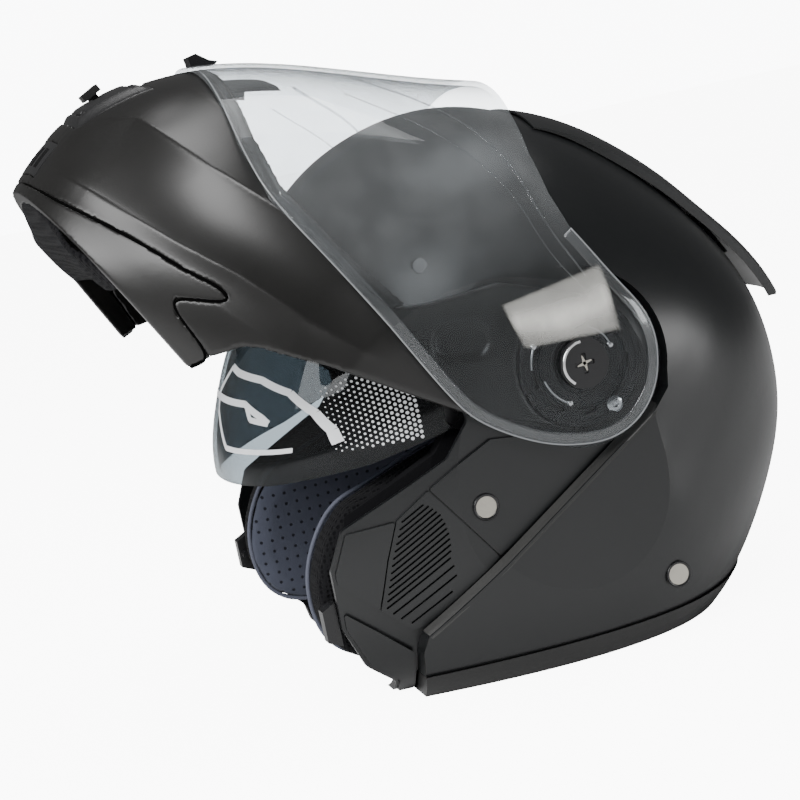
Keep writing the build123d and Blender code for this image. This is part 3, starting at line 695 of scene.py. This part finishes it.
# Outline of the cheek pad from the side, in mm.
CHEEK = [
    (-46, -24), (-64, -29), (-91, -39), (-106, -43), (-117, -54), (-126, -72), (-127, -92),
    (-121, -108), (-106, -117), (-60, -119), (-4, -119), (4, -96), (4, -52), (-12, -30),
]
CUSHION_EDGE = 60.5  # where the grey cushion meets the dark edge, in mm from the middle
piping_line = walk([(c[0] * 0.985 - 0.6, c[1] * 0.985 - 1.1) for c in CHEEK], 2.5)
for side_name, sign in SIDES:
    pad = puffed(
        "cheek_pad_" + side_name, 0.0040, 0.0012, 5.0, 0.004, looks["fabric_grey"],
        "cheek_pad_" + side_name + "_soft",
    )
    pad.data.materials.append(looks["fabric_dark"])
    flags = [1 if abs(p.center.x) / MM > CUSHION_EDGE else 0 for p in pad.data.polygons]
    pad.data.polygons.foreach_set("material_index", flags)
    path = [fixed_point(sign * (CUSHION_EDGE + 0.1), a, b) for a, b in piping_line]
    tube("pad_piping_" + side_name, path, 0.0011, piping, "helmet", around=8, closed=True)

puffed("neck_roll", 0.0040, 0.0008, 3.0, 0.003, looks["fabric_dark"], "neck_roll_soft")


# ------------------------------------------------------------------ lip along the recess in the cheek, lighter than the shell: painted highlight
# Its grey, lighter than the shell, is a painted highlight along the bevel.
lip_highlight_look = material("recess_lip_painted_highlight", (0.030, 0.030, 0.029), 0.34, bump=0.05)
line = walk([(32, -26.5), (27, -29.9), (-60, -83.7), (-87.5, -100.7)], 2.0)
# Cross-section of the lip: shift across the line and lift off the skin, in mm.
LIP_SECTION = ((-1.6, 0.12), (-0.9, 0.05), (-0.2, -0.7), (1.0, -4.0), (1.9, -6.8), (0.3, -8.0), (-0.6, -4.0))
for side_name, sign in SIDES:
    way = np.gradient(line, axis=0)
    way = way / np.linalg.norm(way, axis=1, keepdims=True)
    away = np.stack([-way[:, 1], way[:, 0]], 1)
    away = away * np.sign(-away[:, :1] * 0.55 + away[:, 1:] * 0.83)
    verts = []
    for shift, sink in LIP_SECTION:
        layer = (sink * 0.9, SKIN_HALF + sink * 0.9, 119.0 + sink * 0.9)
        verts += on_skin(line + away * shift, sign, layer, fixed_point)
    n, rows = len(line), len(LIP_SECTION)
    faces = []
    for k in range(rows):
        for i in range(n - 1):
            j = (k + 1) % rows
            faces.append((k * n + i, k * n + i + 1, j * n + i + 1, j * n + i))
    faces.append(tuple(k * n for k in range(rows)))
    faces.append(tuple(k * n + n - 1 for k in range(rows)))
    o = mesh_piece("recess_lip_painted_highlight_" + side_name, verts, faces, lip_highlight_look, "helmet")
    crease(o, 50)


# ------------------------------------------------------------------ pivot hardware under the visor lobe, with bright arcs as painted highlights
def arc_profile(x0, x1, r0, r1, bevel=0.25):
    """Bevelled rectangle of a ring, (along X, radius) in mm."""
    return [
        (x0, r0), (x1 - bevel, r0), (x1, r0 + bevel), (x1, r1 - bevel), (x1 - bevel, r1), (x0, r1),
    ]


ARM_FACE = 117.3  # distance of the arm plate's outer face from the middle, in mm
for side_name, sign in SIDES:
    for name, inner, outer in (("outer", 25.4, 27.6), ("inner", 11.2, 13.4)):
        lathe(
            "pivot_ring_%s_%s" % (name, side_name), arc_profile(ARM_FACE, 118.15, inner, outer), PIVOT, sign,
            looks["gear"], "chin",
        )
    for k, (start, sweep) in enumerate(((15, 62), (110, 40), (172, 58), (255, 46), (318, 30))):
        lathe(
            "pivot_arc_%s_%d" % (side_name, k), arc_profile(ARM_FACE, 118.0, 19.6, 21.0), PIVOT, sign,
            looks["gear"], "chin", start, sweep,
        )
    # The bright arcs are painted highlights; a knob sits at one end of each.
    for k, (radius, start, sweep) in enumerate(((18.0, 194, 50), (15.6, 16, 52), (22.4, 150, 26))):
        lathe(
            "pivot_glint_%s_%d" % (side_name, k),
            arc_profile(ARM_FACE, 118.1, radius - 0.45, radius + 0.45, 0.15),
            PIVOT, sign, bright, "chin", start, sweep,
        )
        a = math.radians(start if k else start + sweep)
        knob = PIVOT + Vector((sign * 117.4, radius * math.cos(a), radius * math.sin(a))) * MM
        lathe(
            "pivot_knob_%s_%d" % (side_name, k),
            [(0.0, 0.01), (1.1, 0.01), (1.0, 1.0), (0.5, 1.45), (0.0, 1.45)],
            knob, sign, bright, "chin", steps=24,
        )
    # Bright arc on the cap: a painted highlight.
    lathe(
        "pivot_shine_" + side_name, arc_profile(122.7, 123.3, 8.9, 10.1, 0.2), PIVOT, sign,
        bright, "helmet", 92, 140,
    )
    lathe(
        "pivot_cap_" + side_name,
        [(121.2, 0.01), (122.1, 0.01), (122.3, 3.0), (122.3, 5.4), (121.9, 5.9), (121.9, 7.4), (122.7, 8.0),
         (123.0, 8.6), (122.9, 9.8), (122.3, 10.6), (121.45, 10.9), (121.2, 10.9)],
        PIVOT, sign, looks["gear"], "helmet",
    )
    for turn_by in (20.0, 110.0):
        a = math.radians(turn_by)
        way = Vector((0.0, math.cos(a), math.sin(a)))
        cross = Vector((0.0, -math.sin(a), math.cos(a)))
        verts = []
        for x in (122.2, 122.75):
            for s, w in ((-3.4, -0.7), (3.4, -0.7), (3.4, 0.7), (-3.4, 0.7)):
                verts.append(PIVOT + (way * s + cross * w + Vector((sign * x, 0, 0))) * MM)
        mesh_piece(
            "pivot_cross_%s_%d" % (side_name, int(turn_by)), verts,
            [(0, 1, 2, 3), (4, 5, 6, 7), (0, 1, 5, 4), (1, 2, 6, 5), (2, 3, 7, 6), (3, 0, 4, 7)],
            looks["metal"], "helmet", flat=True,
        )


def screw(name, centre, sign, radius, tall, body):
    """Small silver pan-head screw with a round hollow in its head."""
    prof = [(0.0, 0.01), (tall * 0.55, 0.01), (tall * 0.55, radius * 0.3), (tall, radius * 0.42),
            (tall * 0.92, radius * 0.8), (tall * 0.5, radius), (0.0, radius)]
    lathe(name, prof, centre, sign, bright, body, steps=40)


for side_name, sign in SIDES:
    screw("arm_screw_a_" + side_name, raised_point(sign * 117.4, -22.4, 1.6), sign, 3.7, 0.9, "chin")
    screw("arm_screw_b_" + side_name, raised_point(sign * 117.4, 24.6, 0.8), sign, 3.7, 0.9, "chin")
    for name, x, radius, u, v in (("side", 111.5, 5.6, -52.0, -52.0), ("rear", 116.5, 5.6, 27.6, -103.0)):
        lathe(
            "stud_ring_%s_%s" % (name, side_name),
            [(0.0, radius - 0.9), (0.45, radius - 0.9), (0.75, radius - 0.5), (0.75, radius),
             (0.3, radius + 0.35), (0.0, radius + 0.35)],
            fixed_point(sign * x, u, v), sign, looks["gear"], "helmet", steps=48,
        )


# ------------------------------------------------------------------ visor rim, edge line, creases and film
LENS_RIM = [
    (-190, -32), (-178, -39), (-160, -49), (-137, -56), (-97, -55), (-60, -54.5), (-30, -54), (-14, -52),
    (4, -43), (20, -31), (33, -14), (36.3, 0), (33.5, 14), (26, 25), (14, 33.5), (0, 36.3), (-20, 34.3),
    (-46, 34),
]


def band(name, line, wide, look, body, lift=0.12, thick=0.1):
    """Thin strip lying on the outside of the lens, inside its edge line."""
    for side_name, sign in SIDES:
        verts = []
        p = walk(line, 1.6)
        way = np.gradient(p, axis=0)
        way = way / np.linalg.norm(way, axis=1, keepdims=True)
        inner = p + np.stack([-way[:, 1], way[:, 0]], 1) * wide
        rows = 6
        for k in range(rows):
            q = p + (inner - p) * (0.06 + 0.94 * k / (rows - 1))
            verts += on_skin(q, sign, lens_layer(lift), raised_point)
        n = len(p)
        faces = []
        for k in range(rows - 1):
            for i in range(n - 1):
                faces.append((k * n + i, k * n + i + 1, (k + 1) * n + i + 1, (k + 1) * n + i))
        o = mesh_piece(name + "_" + side_name, verts, faces, look, body)
        thicken(o, thick)


band("visor_rim_band", LENS_RIM[3:], 5.0, rim_haze, "visor")
for side_name, sign in SIDES:
    line = walk(LENS_RIM, 1.6)
    path = on_skin(line, sign, LENS_EDGE_LAYER, raised_point)
    tube("visor_edge_" + side_name, path, 0.00042, rim_line, "visor", around=6)
CREASE_A = [(-150, 14), (-112, 34), (-84, 36), (-56, 26), (-28, 24)]
CREASE_B = [(-146, 4), (-108, 22), (-76, 26), (-46, 18), (-22, 20)]
band("visor_crease_a", CREASE_A, 0.9, rim_haze, "visor")
band("visor_crease_b", CREASE_B, 0.6, rim_haze, "visor")


def patch(name, corners, look, body, lift, steps=26):
    """Soft-edged four-cornered patch on the outside of the lens."""
    for side_name, sign in SIDES:
        verts, fades = [], []
        (a, b, c, d) = [np.array(k, float) for k in corners]
        for i in range(steps + 1):
            for j in range(steps + 1):
                s, t = i / steps, j / steps
                q = (a * (1 - s) + b * s) * (1 - t) + (d * (1 - s) + c * s) * t
                x = float(skin_x(q[0], q[1], *lens_layer(lift)))
                verts.append(raised_point(sign * x, q[0], q[1]))
                edge = float(step(min(s, 1 - s), 0.0, 0.06) * step(min(t, 1 - t), 0.0, 0.07))
                glow = math.exp(-(((t - 0.42 - 0.16 * math.sin(math.pi * s)) / 0.22) ** 2))
                fades.append(edge * (0.30 + 0.60 * glow))
        n = steps + 1
        faces = [
            (i * n + j, i * n + j + 1, (i + 1) * n + j + 1, (i + 1) * n + j)
            for i in range(steps)
            for j in range(steps)
        ]
        o = mesh_piece(name + "_" + side_name, verts, faces, look, body)
        layer = o.data.attributes.new("fade", "FLOAT", "POINT")
        layer.data.foreach_set("value", fades)
        thicken(o, 0.05)


patch("visor_film", [(-43.6, -12.7), (-27.3, 33.8), (1, 22.4), (-21.9, -16.7)], film, "visor", 0.3)

# ------------------------------------------------------------------ printed pattern on the sun visor
# Reach of the sun visor from the pivot axis: direction, reach.
SUN = [
    (-36, 148), (-22, 148), (-12, 145.5), (0, 135), (8, 128.4), (16, 122.4), (24, 117), (34, 111), (50, 105),
    (75, 100), (105, 98), (140, 98), (180, 100), (220, 105), (255, 115), (290, 130), (307, 140),
]
sun_reach = periodic(SUN, 1)
SUN_FULL = 2.3  # fullness of its section
SUN_HALF = 101.0  # half width where it is widest, in mm
INK_LIFT = 0.15  # how far the printing lies off the visor, in mm
INK_THICK = 0.06


def sun_point(x, u, v):
    """Point on the sun visor: the side-view point is slid along its own direction onto the surface."""
    direction = math.degrees(math.atan2(v, -u))
    part = 1.0 - (abs(x) / (SUN_HALF + INK_LIFT)) ** SUN_FULL
    r = (float(sun_reach(direction)) + INK_LIFT) * part ** (1.0 / SUN_FULL)
    a = math.radians(direction)
    return fixed_point(x, -r * math.cos(a), r * math.sin(a))


def sun_part(u, v):
    """What is left of the sun visor's section at a side-view point: 1 on the axis, 0 on the outline."""
    direction = math.degrees(math.atan2(v, -u))
    return 1.0 - (math.hypot(u, v) / (float(sun_reach(direction)) + INK_LIFT)) ** SUN_FULL


def printed(name, cells):
    """Flat printed marks, each a small polygon of (x, direction) points on the sun visor."""
    verts, faces = [], []
    for cell in cells:
        start = len(verts)
        for x, direction in cell:
            a = math.radians(direction)
            verts.append(sun_point(x, -math.cos(a), math.sin(a)))
        faces.append(tuple(range(start, len(verts))))
    thicken(mesh_piece(name, verts, faces, print_white, "sun_visor", flat=True), INK_THICK)


# Halftone of dots on the left side: rows step forward and the dots shrink towards the front.
DOT_COLUMNS, DOT_ROWS, DOT_SIDES = 18, 20, 8
DOT_START, DOT_STEP_U, DOT_STEP_V = -68.0, 2.05, 2.3
dots, faces = [], []
for i in range(DOT_COLUMNS):
    for j in range(DOT_ROWS):
        u = DOT_START - DOT_STEP_U * i
        v = -19.0 + DOT_STEP_V * (j + 0.5 * (i % 2))
        size = 0.80 * (1.0 - 0.6 * (i / 17.0) ** 1.5)
        # Near the outline a dot would be stretched, and the pattern ends at a sloping line.
        if sun_part(u, v) <= 0.25 or v > 18.0 - 0.28 * (DOT_START - u):
            continue
        start = len(dots)
        for k in range(DOT_SIDES):
            a = k * math.pi / 4
            p, q = u + size * math.cos(a), v + size * math.sin(a)
            x = (SUN_HALF + INK_LIFT) * max(sun_part(p, q), 1e-5) ** (1 / SUN_FULL)
            dots.append(fixed_point(x, p, q))
        faces.append(tuple(range(start, start + DOT_SIDES)))
thicken(mesh_piece("sun_visor_dots", dots, faces, print_white, "sun_visor", flat=True), INK_THICK)

# Plain strokes across the front, each a line of (x, direction) points with a half width in mm.
DEGREE_MM = 2.3  # mm along the visor to one degree of direction
STROKE_PARTS = 6
strokes = []
for line, w in (
    ([(8, 8.5), (18, 7.6), (40.9, 6.7), (58.1, 4.1), (69.4, -0.7), (75.3, -5.3), (77.0, -8.6)], 1.7),
    ([(8, 8.5), (-8, 3.2), (-4.4, -0.4), (15.7, -6.5)], 1.2),
    ([(-26, 2.4), (4.7, 2.0), (31.2, 1.8), (45.5, -0.8), (49.5, -2.0)], 1.5),
    ([(33.0, 1.2), (37.4, -1.1), (49.5, -2.0)], 1.2),
    ([(15.7, -6.5), (39.5, -7.0), (62.0, -7.8)], 1.1),
):
    for (x0, d0), (x1, d1) in zip(line[:-1], line[1:]):
        dx, dd = x1 - x0, (d1 - d0) * DEGREE_MM
        run = math.hypot(dx, dd)
        nx, nd = -dd / run * w, dx / run * w / DEGREE_MM
        for k in range(STROKE_PARTS):
            a0, a1 = k / STROKE_PARTS, (k + 1.02) / STROKE_PARTS
            strokes.append([
                (x0 + dx * a0 + nx, d0 + (d1 - d0) * a0 + nd), (x0 + dx * a1 + nx, d0 + (d1 - d0) * a1 + nd),
                (x0 + dx * a1 - nx, d0 + (d1 - d0) * a1 - nd), (x0 + dx * a0 - nx, d0 + (d1 - d0) * a0 - nd),
            ])
printed("sun_visor_lines", strokes)

# ------------------------------------------------------------------ floor, world and lights
# Both are bright to the camera only, so the ground is near white and the dark skin doesn't mirror it.
FLOOR_GLOW = 9.0
WORLD_DIM, WORLD_BRIGHT = 0.12, 10.0
bpy.ops.mesh.primitive_plane_add(size=14.0, location=(0, 0, 0))
floor = bpy.context.object
floor.name = "floor"
pale = bpy.data.materials.new("pale_floor")
pale.use_nodes = True
tree = pale.node_tree
surface = tree.nodes["Principled BSDF"]
value(surface, "Base Color", (0.85, 0.85, 0.85, 1.0))
value(surface, "Roughness", 0.7)
value(surface, "Emission Color", (1.0, 1.0, 1.0, 1.0))
seen = tree.nodes.new("ShaderNodeLightPath")
lift = tree.nodes.new("ShaderNodeMath")
lift.operation = "MULTIPLY"
lift.inputs[1].default_value = FLOOR_GLOW
tree.links.new(seen.outputs["Is Camera Ray"], lift.inputs[0])
link(tree, lift, "Value", surface, "Emission Strength")
floor.data.materials.append(pale)
floor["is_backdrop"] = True

world = bpy.data.worlds.new("studio")
bpy.context.scene.world = world
world.use_nodes = True
tree = world.node_tree
value(tree.nodes["Background"], "Color", (0.98, 0.99, 1.0, 1.0))
seen = tree.nodes.new("ShaderNodeLightPath")
power = tree.nodes.new("ShaderNodeMapRange")
value(power, "To Min", WORLD_DIM)
value(power, "To Max", WORLD_BRIGHT)
tree.links.new(seen.outputs["Is Camera Ray"], power.inputs["Value"])
tree.links.new(power.outputs["Result"], tree.nodes["Background"].inputs["Strength"])


def softbox(name, place, aim, wide, tall, power):
    """Rectangular area light aimed at a point."""
    lamp = bpy.data.lights.new(name, "AREA")
    lamp.shape = "RECTANGLE"
    lamp.size = wide
    lamp.size_y = tall
    lamp.energy = power
    o = bpy.data.objects.new(name, lamp)
    bpy.context.collection.objects.link(o)
    o.location = place
    o.rotation_mode = "QUATERNION"
    o.rotation_quaternion = (Vector(aim) - Vector(place)).to_track_quat("-Z", "Y")
    o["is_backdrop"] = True


softbox("key", (1.1, -0.75, 1.2), (0, 0, 0.17), 0.8, 0.6, 20)
softbox("side", (0.45, -1.25, 0.90), (0, -0.08, 0.22), 0.8, 0.7, 19)
softbox("top", (-0.1, 0.25, 1.6), (0, 0, 0.15), 0.7, 1.0, 15)
softbox("low", (0.85, 1.05, 0.14), (0, 0.02, 0.08), 0.7, 0.24, 4.6)

# ------------------------------------------------------------------ camera
# The view solved from the photo: the helmet's tilt, the direction to the camera, its place and focal length.
TILT = math.radians(12.0)
az, el = math.radians(73.0), math.radians(6.0)
CAMERA_PLACE = Vector((0.8463, -0.30325, 0.0663))
FOCAL_PIXELS, PICTURE_PIXELS, SENSOR_MM = 1843.9, 800.0, 36.0
turn = Matrix.Rotation(-TILT, 3, "X")
back = turn @ Vector((math.sin(az) * math.cos(el), -math.cos(az) * math.cos(el), math.sin(el)))
right = turn @ Vector((math.cos(az), math.sin(az), 0.0))
up = back.cross(right)
camera_data = bpy.data.cameras.new("camera")
camera = bpy.data.objects.new("camera", camera_data)
bpy.context.collection.objects.link(camera)
camera.matrix_world = Matrix.Translation(PIVOT + turn @ CAMERA_PLACE) @ Matrix(
    (right, up, back)
).transposed().to_4x4()
camera_data.sensor_width = SENSOR_MM
camera_data.lens = SENSOR_MM * FOCAL_PIXELS / PICTURE_PIXELS
camera_data.clip_start = 0.05
bpy.context.scene.camera = camera

low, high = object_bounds()
